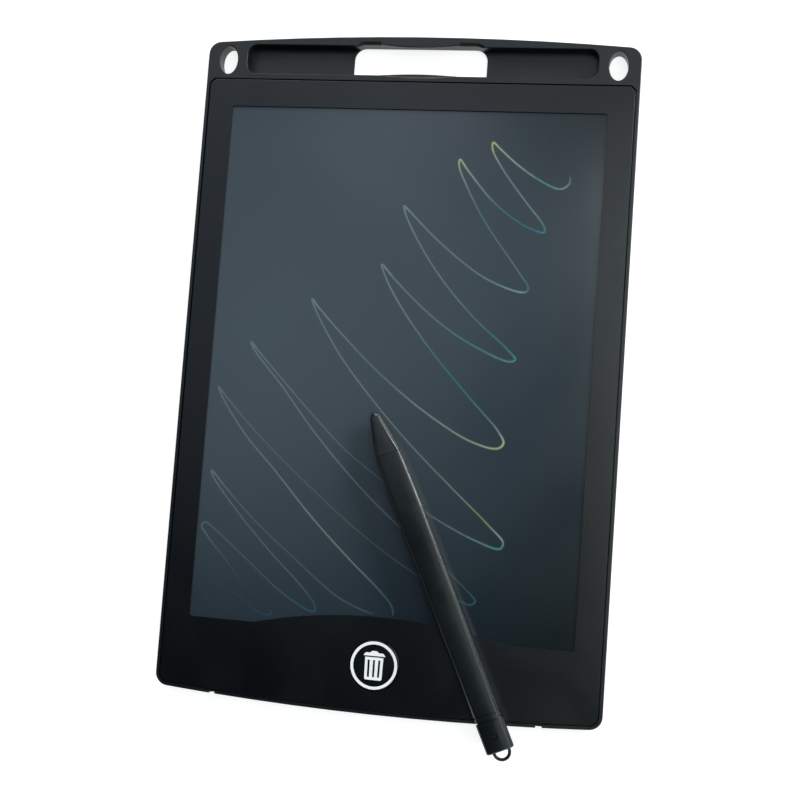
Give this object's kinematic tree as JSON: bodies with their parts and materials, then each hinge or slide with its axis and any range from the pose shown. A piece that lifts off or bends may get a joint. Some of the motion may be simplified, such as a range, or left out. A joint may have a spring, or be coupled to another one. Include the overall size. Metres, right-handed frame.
{
  "type": "writing tablet",
  "caption": "Hand-held liquid crystal writing tablet with a handle slot and pen channel at its head, an erase button under the window, a lock slide and a separate stylus.",
  "frame": {"origin": "centre of the tablet's flat back", "axes": "+X to the tablet's right seen from the front, +Y towards the handle end, +Z out of the writing window"},
  "size_m": [0.147, 0.2341, 0.0122],
  "materials": {
    "housing": "black ABS, fine spark-eroded texture, satin",
    "bezel": "black ABS, fine texture, satin",
    "writing_film": "clear polyester sheet over dark liquid crystal, low gloss",
    "liquid_crystal": "cholesteric liquid crystal in polymer, dark until written on",
    "rear_film": "clear polyester sheet with a conductive coat",
    "black_sheet": "matt black polyester sheet",
    "adhesive_tape": "black double-sided tape",
    "foam": "closed-cell foam sheet",
    "board_laminate": "green solder mask over glass-filled laminate",
    "epoxy": "black epoxy drop over the bare chip",
    "ferrite": "grey ferrite body",
    "chip_ceramic": "ceramic chips with tinned ends",
    "flex_tail": "printed polyester tail",
    "cell_can": "nickel-plated steel can",
    "contact_strip": "nickel-plated spring steel",
    "screw_steel": "black-zinc or plain steel, cross recess",
    "switch_plastic": "black nylon",
    "switch_steel": "tinned steel",
    "button": "black ABS, satin, white printed ring and bin",
    "knob": "black ABS, ridged",
    "stylus_plastic": "black ABS, polished satin",
    "loop_plastic": "black nylon"
  },
  "bodies": {
    "root": {"rear_shell": "housing", "front_bezel": "bezel", "window_tape_frame": "adhesive_tape", "film_front_sheet": "writing_film", "liquid_crystal_layer": "liquid_crystal", "film_rear_sheet": "rear_film", "black_backing_sheet": "black_sheet", "support_foam": "foam", "circuit_board": "board_laminate", "board_screws": "screw_steel", "controller_blob": "epoxy", "boost_inductor": "ferrite", "chip_capacitors": "chip_ceramic", "chip_resistors": "chip_ceramic", "film_connector_tails": "flex_tail", "coin_cell": "cell_can", "battery_negative_contact": "contact_strip", "battery_positive_clip": "contact_strip", "erase_switch_body": "switch_plastic", "erase_switch_cover": "switch_steel", "lock_switch_body": "switch_steel"},
    "erase_button": {"erase_button": "button"},
    "erase_plunger": {"erase_switch_plunger": "switch_plastic"},
    "lock_knob": {"lock_knob": "knob"},
    "lock_lever": {"lock_switch_lever": "switch_plastic"},
    "battery_door": {"battery_door": "housing", "battery_door_screw": "screw_steel"},
    "stylus": {"stylus_nib": "stylus_plastic", "stylus_barrel": "stylus_plastic", "stylus_end_sleeve": "stylus_plastic", "stylus_loop_plug": "loop_plastic"}
  },
  "joints": [
    {"name": "erase_press", "type": "slide", "parent": "root", "child": "erase_button", "axis": [0, 0, -1], "range_m": [0, 0.0003], "stiffness_N_per_m": 3000, "springref_m": -0.0001},
    {"name": "plunger_press", "type": "slide", "parent": "root", "child": "erase_plunger", "axis": [0, 0, -1], "range_m": [0, 0.0003]},
    {"name": "lock_slide", "type": "slide", "parent": "root", "child": "lock_knob", "axis": [1, 0, 0], "range_m": [0, 0.002]},
    {"name": "lever_slide", "type": "slide", "parent": "root", "child": "lock_lever", "axis": [1, 0, 0], "range_m": [0, 0.002]},
    {"name": "battery_door_hinge", "type": "hinge", "parent": "root", "child": "battery_door", "pos_m": [-0.0497, -0.09805, 0], "axis": [0, 1, 0], "range_deg": [0, 50]},
    {"name": "stylus_lift", "type": "slide", "parent": "root", "child": "stylus", "axis": [0, 0, 1], "range_m": [0, 0.04]}
  ],
  "couplings": [
    {"joint": "plunger_press", "follows": "erase_press", "ratio": 1},
    {"joint": "lever_slide", "follows": "lock_slide", "ratio": 1}
  ]
}
